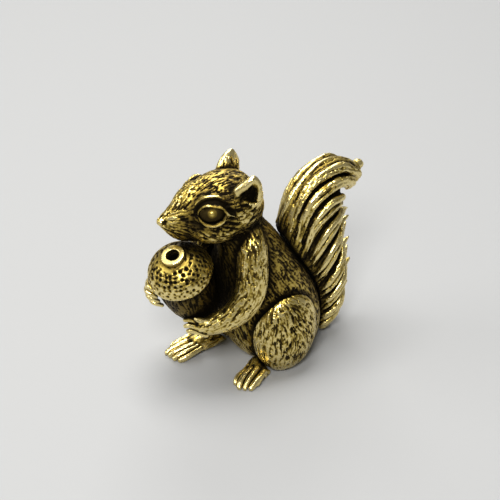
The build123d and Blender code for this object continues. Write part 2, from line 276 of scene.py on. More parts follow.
class Strands:
    """Round strands along paths, in one window, with the direction of the nearest."""

    def __init__(self, w):
        self.w = w
        self.field = np.full(w.last - w.first, band, np.float32)
        self.lie = np.zeros(self.field.shape + (3,), np.float32)

    def add(self, points, radius, shares=((0, 1), (1, 1))):
        """A strand through points. Shares of its radius are given for shares of its length."""
        path = smoothed(points)
        at = np.linspace(0, 1, len(path))
        radii = radius * np.interp(at, [s[0] for s in shares], [s[1] for s in shares])
        for a, b, ra, rb in zip(path, path[1:], radii, radii[1:]):
            v = Window([a, b], strand_room)
            v.clip(self.w)
            if v.empty:
                continue
            d = cone(v, a, b, ra, rb)
            here = v.within(self.w)
            mine = d < self.field[here]
            self.field[here][mine] = d[mine]
            self.lie[here][mine] = unit(b - a)


# Between fingers or toes: the groove, and the patina in it, which starts off its walls and under its rim
bar_room = 1.8
bar_groove_width, bar_groove_depth = 0.15, 0.25
bar_stain_gap, bar_stain_rim, bar_stain_dark, bar_stain_fade = 0.1, 0.35, 0.85, 0.12


def bars(w, lines, size, shares):
    """Plump bars side by side, as fingers and toes are, with a dark groove between neighbours."""
    v = Window(np.vstack(lines), bar_room)
    v.clip(w)
    each = []
    for line in lines:
        bar = Strands(v)
        bar.add(line, size, shares)
        each.append(bar.field)
    each = np.sort(each, axis=0)
    apart = each[1] - each[0]
    hush(v, each[0])
    stain_and_shade(v, np.maximum(apart - bar_stain_gap, each[0] - bar_stain_rim), bar_stain_dark, bar_stain_fade)
    out = np.full(w.last - w.first, band, np.float32)
    out[v.within(w)] = each[0] + bar_groove_depth * np.exp(-((apart / bar_groove_width) ** 2))
    return out


# The tail's spine, as in the solid: y, z, half the width and half the depth, from the root to the tip
tail_middle = 2.08
tail_rows = (
    (11.44, 1.02, 1.76, 2.14), (12.24, 5.44, 3.1, 3.65), (11.64, 11.56, 3.86, 4.66), (9.64, 18.36, 4.2, 5.67),
    (8.64, 23.8, 4.2, 6.3), (10.44, 28.22, 3.86, 5.3), (14.44, 30.26, 2.94, 3.53), (18.24, 29.24, 1.68, 2.02),
)
# The edges of its locks, where the solid has grooves: the share up the spine at which one starts in front
# and ends behind, the share of the half depth at which it starts and ends, and the power of its swing
groove_rows = (
    (-0.05, 0.05, -0.55, 1.25, 1.0), (0.035, 0.13, -0.55, 1.25, 1.0), (0.125, 0.22, -0.55, 1.25, 1.0),
    (0.215, 0.31, -0.55, 1.25, 1.0), (0.305, 0.40, -0.55, 1.25, 1.0), (0.395, 0.53, -0.55, 1.25, 1.0),
    (0.475, 0.70, -0.58, 1.25, 1.1), (0.525, 0.90, -0.68, 1.25, 1.5), (0.565, 1.00, -0.86, 0.90, 2.0),
    (0.60, 1.04, -1.0, 0.10, 2.6),
)
# The strands of a lock: how far each lies towards the next lock, its radius, reach and depth in the plume
lock_strands = ((0.02, 0.36, 0.8, 0.5), (0.34, 0.58, 0.96, 0), (0.67, 0.66, 1.04, 0))
lock_ways = (0, 0.2, 0.4, 0.6, 0.8, 1.0)
# The lock along the plume's back, over its middle
outer_lock = (
    (2, 3.0, 27.0), (2, 4.2, 29.4), (2, 6.2, 31.4), (2, 8.6, 33.0), (2, 11.2, 33.8), (2, 13.6, 33.6),
    (2, 15.6, 32.7), (2, 17.6, 31.4), (2, 19.6, 30.2),
)
outer_drop, outer_size = 0.3, 0.55
lock_shares = ((0.0, 0.3), (0.12, 0.8), (0.45, 1.0), (0.75, 0.95), (0.93, 0.62), (1.0, 0.25))
lock_blend = 0.12
core_sunk = 0.12
flank_limit = 0.97
knob_place, knob_size, knob_blend = (2.0, 19.5, 30.1), (0.95, 1.25, 0.95), 0.4


def tail_spot(share, across):
    """A place on the left flank: a share up the spine, and one of the half depth from front to back."""
    rows = np.array(tail_rows)
    at = np.linspace(0, 1, len(rows))
    y, z, width, depth = [np.interp(share, at, rows[:, k]) for k in range(4)]
    step = at[1]
    before, after = [
        [np.interp(np.clip(share + s, 0, 1), at, rows[:, k]) for k in (0, 1)] for s in (-step, step)
    ]
    run = unit(np.subtract(after, before))
    side = width * math.sqrt(1 - min(abs(across), flank_limit) ** 2)
    return tail_middle + side, y + run[1] * depth * across, z - run[0] * depth * across


def lock_path(row, reach):
    """A strand's places on the left flank, from the front edge to the free tip behind."""
    start, end, front, rear, swing = row
    spots = []
    for way in lock_ways:
        across = front + (rear * reach - front) * way ** swing
        spots.append(tail_spot(start + (end - start) * math.sin(way * math.pi / 2), across))
    return spots


def tail_field():
    """The plume: the carved solid under round locks that sweep up and back over both flanks."""
    w, core = node_field("tail")
    strands = Strands(w)
    strands.add([(x, y, z - outer_drop) for x, y, z in outer_lock], outer_size, lock_shares)
    for lower, upper in zip(groove_rows, groove_rows[1:]):
        for part, size, reach, sink in lock_strands:
            row = np.array(lower) * (1 - part) + np.array(upper) * part
            path = [(x - min(sink, x - tail_middle), y, z) for x, y, z in lock_path(row, reach)]
            strands.add(path, size, lock_shares)
            strands.add([(2 * tail_middle - x, y, z) for x, y, z in path], size, lock_shares)
    plume = smooth_min(core + core_sunk, strands.field, lock_blend)
    return w, smooth_min(plume, egg(w, knob_place, knob_size), knob_blend), strands


# The head's own ways, and its nose
ahead = array(-0.2924, -0.9563, 0)
aside = array(0.9563, -0.2924, 0)
nose = array(-4.2, -17.35, 31.0)
# Round the eye, in millimetres back along the head and up from its middle
upper_lid = ((-2.35, 0.1), (-1.95, 0.95), (-0.85, 1.6), (0.5, 1.6), (1.8, 0.95), (2.55, 0.0), (3.5, -0.75),
             (4.3, -1.35))
lower_lid = ((-2.4, -0.2), (-2.1, -0.9), (-1.2, -1.7), (0.3, -2.0), (1.5, -1.7), (2.0, -1.15), (2.35, -0.5))
lid_crease = ((-2.75, -0.3), (-2.65, 0.4), (-1.95, 1.5), (-0.8, 2.1), (0.7, 2.15), (2.15, 1.6), (3.1, 0.5),
              (3.9, -0.5))
brow = ((-2.8, 1.5), (-1.5, 2.6), (0.0, 3.1), (1.6, 2.85), (2.8, 2.3))
# How thick each of them and the mouth's slit is along its length, as shares of a radius
brow_shares = ((0, 0.6), (0.3, 1), (0.7, 1), (1, 0.6))
crease_shares = ((0, 0.4), (0.2, 1), (0.8, 1), (1, 0.3))
upper_shares = ((0, 0.5), (0.3, 1.1), (0.6, 1.1), (1, 0.4))
lower_shares = ((0, 0.4), (0.3, 1.1), (0.7, 1.1), (1, 0.3))
slit_shares = ((0, 0.5), (0.4, 1), (1, 0.6))
# The head's forms: how they are placed, their radii or half sizes, and how softly they join it. Half sizes of
# the forms round the eye run back along the head, up and out of it, and the others sideways, forwards and up
forehead_place, forehead_size, forehead_blend = array(-2.55, -9.9, 33.0), (3.1, 5.3, 3.5), 0.8
fill_in, fill_size, fill_blend = 0.5, (2.9, 2.3, 1.5), 0.6
brow_lift, brow_radius, brow_blend = -0.8, 1.3, 1.0
cheek_in, cheek_below, cheek_forward = 2.2, 3.3, 0.2
cheek_size, cheek_blend = (3.4, 2.3, 2.6), 1.4
crease_lift, crease_radius, crease_blend = -0.1, 0.42, 0.2
socket_out, socket_size, socket_blend = 0.45, (2.15, 1.5, 1.3), 0.2
lid_lift, lid_height, upper_radius, lower_radius, lid_blend = 0.06, 0.9, 0.17, 0.23, 0.1
pad_size, pad_blend = (0.75, 0.6, 0.6), 0.35
slit_lift, slit_radius, slit_blend = 0.05, 0.24, 0.15
# The places of the slit on one side of the nose: sideways, behind and below where it starts
slit_places = ((0.8, 0.8, 0.5), (1.5, 2.0, 1.0), (2.1, 3.4, 1.4))
nostril_radius = 0.2
# The head's dark: patina and painted shade in the socket and its crease, kept off the worn lids, painted
# shade towards the jaw's underside, and patina in the slit
shade_out, shade_size, shade_crease, shade_dark, shade_fade = 0.4, (2.5, 1.9, 1.6), 0.2, 0.95, 0.25
lid_bare_from, lid_bare_fade, lid_bare_share = 0.16, 0.08, 0.4
jaw_band, jaw_slope, jaw_height, jaw_painted_shade, jaw_fade = 0.4, 0.12, 26.8, 0.4, 3.6
slit_dark, slit_fade = 0.5, 0.12
outside = 9.0
# How far the eye's middle is moved forwards along the head, and out of it on the left, 1, and the right, -1
eye_forward = 0.35
eye_out = {1: 0.1, -1: -1.0}


def eye_axes(sign):
    """The eye's middle, and its ways back along the head, up and out."""
    points, _ = node_points("eye_left" if sign > 0 else "eye_right")
    out = unit(aside * sign + ahead / 2 + array(0, 0, 1 / 3))
    back = unit(-ahead + out * (ahead @ out))
    over = np.cross(out, back) * (1 if sign > 0 else -1)
    middle = (points.min(0) + points.max(0)) / 2 - back * eye_forward + out * eye_out[sign]
    return middle, back, unit(over), out


def head_field():
    """The head, with a brow, lids, cheeks, a nose pad and the slit of the mouth."""
    w, field = node_field("head")
    forehead = egg(w, forehead_place, forehead_size, (aside, ahead, up))
    field = smooth_min(field, forehead, forehead_blend)
    for sign in (1, -1):
        middle, back, over, out = eye_axes(sign)

        def round_eye(line, lift, height=0.6):
            spots = [middle + back * u + over * v + out * height for u, v in line]
            return settle(w, field, spots, lift)

        # The socket, filled to the brow and then cut back
        fill = egg(w, middle - out * fill_in, fill_size, (back, over, out))
        field = smooth_min(field, fill, fill_blend)
        if sign > 0:
            rim = Strands(w)
            rim.add(round_eye(brow, brow_lift), brow_radius, brow_shares)
            field = smooth_min(field, rim.field, brow_blend)
            hush(w, rim.field)
        cheek = middle - out * cheek_in - over * cheek_below - back * cheek_forward
        field = smooth_min(field, egg(w, cheek, cheek_size, (back, over, out)), cheek_blend)
        cut = Strands(w)
        cut.add(round_eye(lid_crease, crease_lift), crease_radius, crease_shares)
        # Painted shade, with patina, in the socket and along the crease above the lid
        shade = egg(w, middle + out * shade_out, shade_size, (back, over, out))
        stain_and_shade(w, np.minimum(cut.field - shade_crease, shade), shade_dark, shade_fade)
        socket = egg(w, middle + out * socket_out, socket_size, (back, over, out))
        field = smooth_max(field, -socket, socket_blend)
        lids = Strands(w)
        lids.add(round_eye(upper_lid, lid_lift, lid_height), upper_radius, upper_shares)
        lids.add(round_eye(lower_lid, lid_lift, lid_height), lower_radius, lower_shares)
        field = smooth_max(field, -cut.field, crease_blend)
        field = smooth_min(field, lids.field, lid_blend)
        hush(w, lids.field)
        bare = np.clip((lid_bare_from - lids.field) / lid_bare_fade, 0, 1)
        stains_and_shade[w.slices] *= 1 - lid_bare_share * bare
    pad = nose + ahead * 0.1 + array(0, 0, 0.1)
    field = smooth_min(field, egg(w, pad, pad_size, (aside, ahead, up)), pad_blend)
    # Painted shade: darker towards the jaw's underside, below a sloping plane
    below_jaw = w.z + jaw_slope * w.y - jaw_height
    stain_and_shade(w, np.where(field < jaw_band, below_jaw, outside), jaw_painted_shade, jaw_fade)
    # The mouth's slit on each side of the nose, and the nostrils
    for sign in (1, -1):
        slit = Strands(w)
        start = nose + array(0, 0, -0.5)
        line = [start]
        for sideways, behind, below in slit_places:
            line.append(start + aside * sign * sideways - ahead * behind + array(0, 0, -below))
        slit.add(settle(w, field, line, slit_lift), slit_radius, slit_shares)
        hole = nose + aside * sign * 0.5 - ahead * 0.25 + array(0, 0, 0.05)
        slit.add(settle(w, field, [hole, hole - ahead * 0.5 + array(0, 0, 0.25)], 0), nostril_radius)
        field = smooth_max(field, -slit.field, slit_blend)
        stain_and_shade(w, slit.field, slit_dark, slit_fade)
    return w, field


# The ears' rims, as places from the front of the base to the tip and down the back, and their hollows
ear_rims = {
    "ear_left": (
        (2.6, -8.2, 35.5), (3.0, -7.4, 36.3), (3.6, -6.5, 37.2), (4.1, -5.6, 38.1), (4.3, -4.9, 38.5),
        (4.8, -4.3, 37.8), (5.1, -4.3, 36.8), (5.1, -4.5, 35.8), (4.9, -4.8, 34.6),
    ),
    "ear_right": (
        (-5.3, -5.4, 35.7), (-5.1, -4.9, 36.7), (-4.9, -4.0, 37.6), (-4.8, -2.9, 38.2), (-4.7, -2.0, 38.4),
        (-4.6, -1.2, 37.9), (-4.5, -0.8, 37.0), (-4.2, -1.0, 36.0), (-3.6, -1.6, 35.4),
    ),
}
ear_rim_size = {"ear_left": 0.7, "ear_right": 0.35}
ear_rim_shares = ((0, 1.0), (0.25, 1.1), (0.45, 0.75), (0.75, 0.5), (1, 0.5))
ear_rim_lift, ear_rim_blend = -0.1, 0.3
ear_rim_clear, ear_dark, ear_fade = 0.3, 0.7, 0.4
ear_bowls = {
    "ear_left": ((4.9, -5.9, 35.9), (1.2, 1.3, 1.6)),
    "ear_right": ((-5.9, -3.6, 36.0), (1.0, 1.2, 1.6)),
}


def ear_field(name):
    """An ear with a rounded rim, dark inside."""
    w, field = node_field(name)
    rim = Strands(w)
    rim.add(settle(w, field, ear_rims[name], ear_rim_lift), ear_rim_size[name], ear_rim_shares)
    hush(w, rim.field)
    bowl = egg(w, *ear_bowls[name])
    stain_and_shade(w, np.maximum(bowl, ear_rim_clear - rim.field), ear_dark, ear_fade)
    return w, smooth_min(field, rim.field, ear_rim_blend)


# The arms, as places along the middle of each with its half thickness there, from the shoulder to the palm
arm_lines = {
    "arm_left": (
        (3.6, -5.0, 27.4, 1.9), (4.5, -5.6, 25.2, 2.5), (5.3, -6.2, 21.8, 2.6), (5.8, -7.0, 18.6, 2.6),
        (5.7, -8.4, 16.0, 2.4), (4.9, -10.3, 14.2, 2.1), (3.6, -12.5, 13.0, 1.8), (2.2, -14.0, 12.3, 1.35),
        (1.1, -14.8, 11.9, 0.85),
    ),
    "arm_right": (
        (-3.9, -5.6, 27.0, 1.6), (-5.1, -6.0, 24.6, 2.6), (-6.5, -6.4, 20.6, 2.7), (-7.3, -7.6, 17.4, 2.55),
        (-7.8, -9.6, 15.7, 2.15), (-8.3, -11.9, 15.3, 1.8), (-8.5, -14.2, 16.0, 1.5),
        (-8.2, -15.8, 16.7, 1.25),
    ),
}
# The fingers from root to tip and the toes from tip to root, with their radii and shares of those
finger_lines = {
    "arm_left": (
        ((4.3, -12.7, 13.7), (3.1, -13.6, 13.6), (2.1, -14.3, 13.5), (1.1, -14.8, 13.6)),
        ((2.6, -13.8, 12.5), (1.3, -14.5, 13.0), (0.1, -15.1, 13.0), (-0.8, -15.5, 12.6)),
        ((2.7, -14.0, 11.7), (1.5, -14.8, 12.2), (0.4, -15.4, 12.2), (-0.4, -15.8, 11.8)),
        ((2.8, -14.1, 11.1), (1.9, -14.8, 11.4), (1.0, -15.3, 11.4), (0.2, -15.7, 11.1)),
    ),
    "arm_right": (
        ((-7.9, -16.2, 18.0), (-6.6, -18.2, 18.9), (-5.1, -19.7, 19.5), (-3.9, -20.1, 19.6),
         (-3.0, -19.5, 19.0)),
        ((-7.9, -16.1, 17.1), (-6.8, -18.2, 17.7), (-5.5, -19.7, 18.3), (-4.2, -20.2, 18.4),
         (-3.3, -19.4, 17.8)),
        ((-7.9, -15.9, 16.2), (-6.9, -17.8, 16.5), (-5.8, -19.2, 16.9), (-4.5, -19.7, 17.1),
         (-3.6, -18.8, 16.5)),
        ((-7.9, -15.7, 15.3), (-7.0, -17.3, 15.3), (-5.9, -18.5, 15.6), (-4.6, -19.0, 15.8),
         (-3.7, -18.0, 15.2)),
    ),
}
toe_lines = {
    "foot_left": (
        ((5.5, -9.9, 0.4), (4.9, -9.0, 0.8), (4.6, -7.2, 1.2)),
        ((6.7, -10.2, 0.4), (6.1, -9.3, 0.9), (5.7, -8.1, 1.3), (5.4, -6.6, 1.7)),
        ((7.4, -9.6, 0.4), (6.8, -8.3, 1.0), (6.4, -7.1, 1.4), (6.0, -5.8, 1.8)),
        ((8.1, -8.9, 0.4), (7.8, -7.4, 0.9), (7.6, -6.4, 1.2), (7.2, -5.2, 1.5)),
    ),
    "foot_right": (
        ((-8.5, -13.6, 0.4), (-8.3, -12.4, 0.9), (-8.0, -11.4, 1.3), (-7.6, -10.2, 1.7)),
        ((-7.6, -13.6, 0.4), (-7.2, -12.7, 0.9), (-6.6, -11.5, 1.4), (-6.0, -10.0, 1.8)),
        ((-6.4, -13.6, 0.4), (-6.0, -12.6, 0.9), (-5.6, -11.3, 1.3), (-5.3, -9.6, 1.6)),
        ((-5.5, -13.2, 0.4), (-5.2, -12.2, 0.7), (-5.0, -10.9, 1.1), (-4.8, -9.4, 1.4)),
    ),
}
finger_size = {"arm_left": 0.6, "arm_right": 0.5}
toe_size = 0.62
finger_blend, toe_blend = 0.1, 0.05
finger_shares = ((0, 1), (0.8, 0.95), (1, 0.7))
toe_shares = ((0, 0.85), (0.15, 1.0), (0.6, 0.95), (1, 0.8))
foot_sunk = 0.2
sole_height = 0.01
# The fur of the chest behind the acorn, and the painted shade laid on it
bib_place, bib_size, bib_blend = (-2.2, -5.6, 15.5), (3.4, 3.2, 8.0), 1.0
bib_painted_shade, bib_fade = 0.12, 0.6


def arm_field(name):
    """An arm as one smooth curve, with its fingers."""
    line = np.array(arm_lines[name])
    w = Window(np.vstack([node_points(name)[0], line[:, :3]]), edge_room)
    arm = Strands(w)
    at = np.linspace(0, 1, len(line))
    arm.add(line[:, :3], 1.0, list(zip(at, line[:, 3])))
    hand = bars(w, finger_lines[name], finger_size[name], finger_shares)
    return w, smooth_min(arm.field, hand, finger_blend), arm


def torso_field():
    """The body, with the fur of the chest behind the acorn, painted darker there as shade."""
    w, field = node_field("torso")
    bib = egg(w, bib_place, bib_size)
    # Painted shade on the chest behind the acorn
    stain_and_shade(w, bib, bib_painted_shade, bib_fade)
    return w, smooth_min(field, bib, bib_blend)


def foot_field(name):
    """A foot with its toes, flat below."""
    w, field = node_field(name)
    toes = bars(w, toe_lines[name], toe_size, toe_shares)
    return w, np.maximum(smooth_min(field + foot_sunk, toes, toe_blend), sole_height - w.z)


# The figure's skin: how softly each section runs into those before it, and how deep the crease between is
sections = (
    ("torso", 0, 0), ("head", 1.2, 0), ("thigh_left", 0.4, 0.35), ("thigh_right", 0.4, 0.35),
    ("arm_left", 0.9, 0.2), ("arm_right", 0.9, 0.2), ("foot_left", 0.3, 0.2), ("foot_right", 0.3, 0.2),
    ("ear_left", 0.4, 0), ("ear_right", 0.4, 0), ("tail", 0.3, 0.3),
)
fields = {}
lies = {}
for name, blend, crease in sections:
    if name == "tail":
        w, field, lies[name] = tail_field()
    elif name in arm_lines:
        w, field, lies[name] = arm_field(name)
    elif name in toe_lines:
        w, field = foot_field(name)
    elif name == "head":
        w, field = head_field()
    elif name == "torso":
        w, field = torso_field()
    elif name in ear_rims:
        w, field = ear_field(name)
    else:
        w, field = node_field(name)
    fields[name] = (w, field)
    claim(name, w, field)
    join(w, field, blend, crease)


def soften(a, spread):
    """A volume blurred by a round spread, in its own cells."""
    lines = [np.fft.fftfreq(a.shape[0]), np.fft.fftfreq(a.shape[1]), np.fft.rfftfreq(a.shape[2])]
    fall = [np.exp(-2 * (math.pi * spread * f) ** 2).astype(np.float32) for f in lines]
    wave = np.fft.rfftn(a)
    wave *= fall[0][:, None, None] * fall[1][None, :, None] * fall[2][None, None, :]
    return np.fft.irfftn(wave, a.shape).astype(np.float32)


# The acorn, with its own ways, and the eyes: pieces of their own, beside the skin
acorn_origin = array(-2.121, -15.169, 21.3)
acorn_axis = unit((0.086827, -0.389256, 0.917029))
acorn_side = unit(np.array([1.0, 0, 0]) - acorn_axis * acorn_axis[0])
acorn_ahead = np.cross(acorn_axis, acorn_side)
belly_place, belly_size, belly_blend = (-1.9, -12.0, 14.3), (3.5, 3.5, 4.1), 0.6
nut_dark, nut_fade = 0.5, 0.5
bead_size = (2.0, 1.45, 1.2)
bead_out = {"eye_left": 0, "eye_right": 0.5}
beside = {}
whole = skin.copy()
for name in ("acorn_nut", "acorn_cap", "stick_collar", "eye_left", "eye_right"):
    w, field = node_field(name)
    if name == "acorn_nut":
        belly = egg(w, belly_place, belly_size, (acorn_side, acorn_ahead, acorn_axis))
        field = smooth_min(field, belly, belly_blend)
        stain_and_shade(w, field, nut_dark, nut_fade)
    elif name.startswith("eye"):
        middle, back, over, out = eye_axes(1 if name == "eye_left" else -1)
        field = egg(w, middle + out * bead_out[name], bead_size, (back, over, out))
    beside[name] = (w, field)
    whole[w.slices] = np.minimum(whole[w.slices], field)

# How deep in a hollow each place lies: how much metal there is round it, near and further off; the further
# off is painted into the colour as shade
coarse = 2
near_spread, far_spread = 0.55, 1.9
metal_round = np.clip(0.5 - whole[::coarse, ::coarse, ::coarse] / (coarse * voxel), 0, 1)
near_round = soften(metal_round, near_spread / (coarse * voxel))
far_round = soften(metal_round, far_spread / (coarse * voxel))


# Engraved fur: noise drawn out along the lie of the hair
rng = np.random.default_rng(7)
grain = 0.17
noise_room = 2
noise_low = (low - noise_room).astype(np.float32)
noise = rng.random(tuple(np.ceil((high - low + 2 * noise_room) / grain).astype(int) + 2), np.float32)
wave_cells = (14, 22, 20)
wave_size = 1.6
wave_seeds = (1, 2, 3)
wander = 0.35
engraved_band = 0.45
streak_steps = 9
streak_contrast = 0.8
calm_share = 0.75


def waves(points, size, seed):
    """Slow noise between -1 and 1 over places."""
    soft = np.random.default_rng(seed).random(wave_cells, np.float32) * 2 - 1
    q = (points - points.min(0)) / size
    q = np.mod(q, np.array(soft.shape) - 2)
    return sample(soft, q, np.zeros(3, np.float32), 1.0)


def directions(field, cells):
    """The way out of a field's skin at its cells."""
    slope = np.empty((len(cells), 3), np.float32)
    top = np.array(field.shape) - 1
    for k in range(3):
        a, b = cells.copy(), cells.copy()
        a[:, k] = np.maximum(a[:, k] - 1, 0)
        b[:, k] = np.minimum(b[:, k] + 1, top[k])
        slope[:, k] = field[b[:, 0], b[:, 1], b[:, 2]] - field[a[:, 0], a[:, 1], a[:, 2]]
    return slope / np.maximum(np.linalg.norm(slope, axis=1, keepdims=True), tiny)


def engrave(field, first, lie, reach, depth, bias=0.1, shift=0.0):
    """Cut strokes into a field along the lie of the hair. Lie and reach are given for cells near its skin."""
    cells = np.argwhere(np.abs(field) < engraved_band)
    places = (low + (cells + first) * voxel).astype(np.float32)
    way = np.asarray(lie(places, cells), np.float32)
    way = way + wander * np.stack([waves(places, wave_size, seed) for seed in wave_seeds], 1)
    slope = directions(field, cells)
    way -= slope * (way * slope).sum(1, keepdims=True)
    way /= np.maximum(np.linalg.norm(way, axis=1, keepdims=True), tiny)
    length = reach(places, cells) if callable(reach) else np.full(len(cells), reach, np.float32)
    streak = np.zeros(len(cells), np.float32)
    for s in np.linspace(-1, 1, streak_steps):
        streak += sample(noise, places + way * (length * s)[:, None] + np.float32(shift), noise_low, grain)
    streak = (streak - streak.mean()) / streak.std()
    cut = np.clip(-streak * streak_contrast + bias, 0, 1)
    cut = cut * cut * (3 - 2 * cut)
    at = cells + first
    cut *= 1 - calm_share * calm[at[:, 0], at[:, 1], at[:, 2]]
    field[cells[:, 0], cells[:, 1], cells[:, 2]] += cut * depth
    ink[at[:, 0], at[:, 1], at[:, 2]] = np.maximum(ink[at[:, 0], at[:, 1], at[:, 2]], cut)


# Which way the fur lies on each section, fanning out from the nose and the haunches' tops, and how far a
# stroke reaches
arm_bend = 15.5
lays = {
    "torso": (lambda p: array(0, 0.6, -1) + p * 0, 0.6),
    "head": (lambda p: (p - nose) / 8, 0.42),
    "thigh_left": (lambda p: p - array(6.0, -2.0, 16.0), 0.5),
    "thigh_right": (lambda p: p - array(-6.0, -2.0, 16.0), 0.5),
    "arm_left": (
        lambda p: np.where(p[:, 2:] > arm_bend, array(0.3, -0.2, -1), array(-0.5, -0.8, -0.4)), 0.45
    ),
    "arm_right": (
        lambda p: np.where(p[:, 2:] > arm_bend, array(-0.3, -0.2, -1), array(0.0, -0.8, -0.4)), 0.45
    ),
    "foot_left": (lambda p: array(0.43, -0.9, 0) + p * 0, 0.6),
    "foot_right": (lambda p: array(-0.12, -0.99, 0) + p * 0, 0.6),
    "ear_left": (lambda p: array(0.2, 0.2, 1) + p * 0, 0.5),
    "ear_right": (lambda p: array(-0.2, 0.2, 1) + p * 0, 0.5),
    "tail": (lambda p: array(0, 0.45, 1) + p * 0, 1.0),
}


def body_lie(places, cells):
    """The lie of the fur, along the strands of the tail and the arms where they are near."""
    whose = owner[cells[:, 0], cells[:, 1], cells[:, 2]]
    lie = np.zeros_like(places)
    for name, (way, _) in lays.items():
        mine = whose == names.index(name)
        way = way(places[mine])
        lie[mine] = way / np.maximum(np.linalg.norm(way, axis=1, keepdims=True), tiny)
    for name, strands in lies.items():
        mine = whose == names.index(name)
        inside = np.clip(cells[mine] - strands.w.first, 0, np.array(strands.field.shape) - 1)
        along = strands.lie[inside[:, 0], inside[:, 1], inside[:, 2]]
        lie[mine] = np.where(np.abs(along).sum(1, keepdims=True) > 0, along * 2, lie[mine])
    return lie


def body_reach(places, cells):
    """How far a stroke reaches on each cell's section."""
    whose = owner[cells[:, 0], cells[:, 1], cells[:, 2]]
    table = np.array([lays[name][1] for name in names], np.float32)
    return table[np.minimum(whose, len(names) - 1)]


def fine_reach(places, cells):
    return body_reach(places, cells) * 0.5


# Long strokes, and finer ones between them
grid_start = np.zeros(3, int)
engrave(skin, grid_start, body_lie, body_reach, depth=0.15, bias=0.0)
engrave(skin, grid_start, body_lie, fine_reach, depth=0.08, bias=-0.38, shift=1.37)


# The acorn: dimples in rows round its cap, in degrees from its middle down to the rim, and lines down the nut
cap_radius, cap_height = 5.5, 4.6
first_row, end_row, row_step = 34, 92, 8
low_row, low_row_share = 60, 0.8
dimple_spacing, turn_jitter, tilt_jitter = 1.0, 0.3, 0.05
least_dimple, most_dimple, dimple_blend = 0.2, 0.34, 0.08
dimple_dark, dimple_ink_room, dimple_ink_fade = 1.25, 0.1, 0.2
dimple_room = 0.9
w, field = beside["acorn_cap"]
for angle in range(first_row, end_row, row_step):
    drop = math.radians(angle)
    count = int(2 * math.pi * cap_radius * math.sin(drop) / dimple_spacing)
    for k in range(count):
        step = k + 0.5 * (angle // row_step % 2) + rng.uniform(-turn_jitter, turn_jitter)
        turn = 2 * math.pi * step / count
        tilt = drop + rng.uniform(-tilt_jitter, tilt_jitter)
        outwards = acorn_side * math.cos(turn) + acorn_ahead * math.sin(turn)
        spot = acorn_origin + outwards * cap_radius * math.sin(tilt)
        spot = spot + acorn_axis * cap_height * math.cos(tilt)
        v = Window([spot], dimple_room)
        v.clip(w)
        if v.empty:
            continue
        away = np.sqrt((v.x - spot[0]) ** 2 + (v.y - spot[1]) ** 2 + (v.z - spot[2]) ** 2)
        here = v.within(w)
        size = rng.uniform(least_dimple, most_dimple) * (1 if angle < low_row else low_row_share)
        field[here] = smooth_max(field[here], size - away, dimple_blend)
        dark = dimple_dark * (size + dimple_ink_room - away) / dimple_ink_fade
        ink[v.slices] = np.maximum(ink[v.slices], np.clip(dark, 0, 1))


def round_cap(places, cells):
    return np.cross(places - acorn_origin, acorn_axis)


def down_nut(places, cells):
    return places * 0 + acorn_axis.astype(np.float32)


engrave(field, w.first, round_cap, reach=0.25, depth=0.07, bias=-0.35)
w, field = beside["acorn_nut"]
engrave(field, w.first, down_nut, reach=0.9, depth=0.12)


# Antiqued brass: its tones from worn bright to dark patina and painted shade, each with its place between
# them
brass_tones = (
    (0.06, (0.85, 0.71, 0.33, 1)), (0.26, (0.49, 0.365, 0.08, 1)), (0.46, (0.19, 0.13, 0.024, 1)),
    (0.72, (0.038, 0.026, 0.008, 1)), (1.0, (0.008, 0.006, 0.003, 1)),
)
bright_roughness, dark_roughness = 0.21, 0.75
mottle_scale, mottle_detail, mottle_share = 900, 3, 0.22


def brass():
    """The metal: its tone and roughness follow the patina and the painted light, with a little mottling."""
    mat = bpy.data.materials.new("antiqued_brass")
    mat.use_nodes = True
    nodes, links = mat.node_tree.nodes, mat.node_tree.links
    shader = nodes["Principled BSDF"]
    shade = nodes.new("ShaderNodeAttribute")
    shade.attribute_name = "patina_and_light"
    mottle = nodes.new("ShaderNodeTexNoise")
    mottle.inputs["Scale"].default_value = mottle_scale
    mottle.inputs["Detail"].default_value = mottle_detail
    place = nodes.new("ShaderNodeTexCoord")
    links.new(place.outputs["Object"], mottle.inputs["Vector"])
    uneven = nodes.new("ShaderNodeMath")
    uneven.operation = "MULTIPLY_ADD"
    uneven.inputs[1].default_value = mottle_share
    links.new(mottle.outputs["Fac"], uneven.inputs[0])
    links.new(shade.outputs["Fac"], uneven.inputs[2])
    ramp = nodes.new("ShaderNodeValToRGB")
    stops = ramp.color_ramp.elements
    stops[0].position, stops[0].color = brass_tones[0]
    stops[1].position, stops[1].color = brass_tones[-1]
    for position, colour in brass_tones[1:-1]:
        stops.new(position).color = colour
    links.new(uneven.outputs["Value"], ramp.inputs["Fac"])
    links.new(ramp.outputs["Color"], shader.inputs["Base Color"])
    rough = nodes.new("ShaderNodeMapRange")
    rough.inputs["To Min"].default_value = bright_roughness
    rough.inputs["To Max"].default_value = dark_roughness
    links.new(uneven.outputs["Value"], rough.inputs["Value"])
    links.new(rough.outputs["Result"], shader.inputs["Roughness"])
    shader.inputs["Metallic"].default_value = 1.0
    return mat


metal = brass()

# Patina and painted light, from 0, bright, to 1, dark. Facing is how far a place looks up, from -1 to 1
base_patina = 0.05
near_flat, near_gain, near_range = 0.5, 3.2, (-0.3, 0.8)
far_flat, far_gain, far_least = 0.45, 2.4, -0.2
# Painted light: strokes are lighter on what faces up
stroke_dark, stroke_top_light = 0.46, 0.14
# Painted light: darker on what faces down, lighter on what faces up
facing_light_table = ((-0.8, 0.0, 0.5, 0.9), (0.34, 0.12, 0.0, -0.18))
# Painted light on the cap: lighter on what faces up, darker towards the rim
cap_facing_light = ((-0.2, 0.4), (0.17, -0.08))
# The eye's bead: dark, with a painted highlight on its pupil
bead_and_glint_table = ((0.2, 0.85), (0.1, 0.64))
# Where the painted highlight on an eye's pupil lies from its middle, back along the head and up
glint_back, pupil_up = 0.1, 0.2


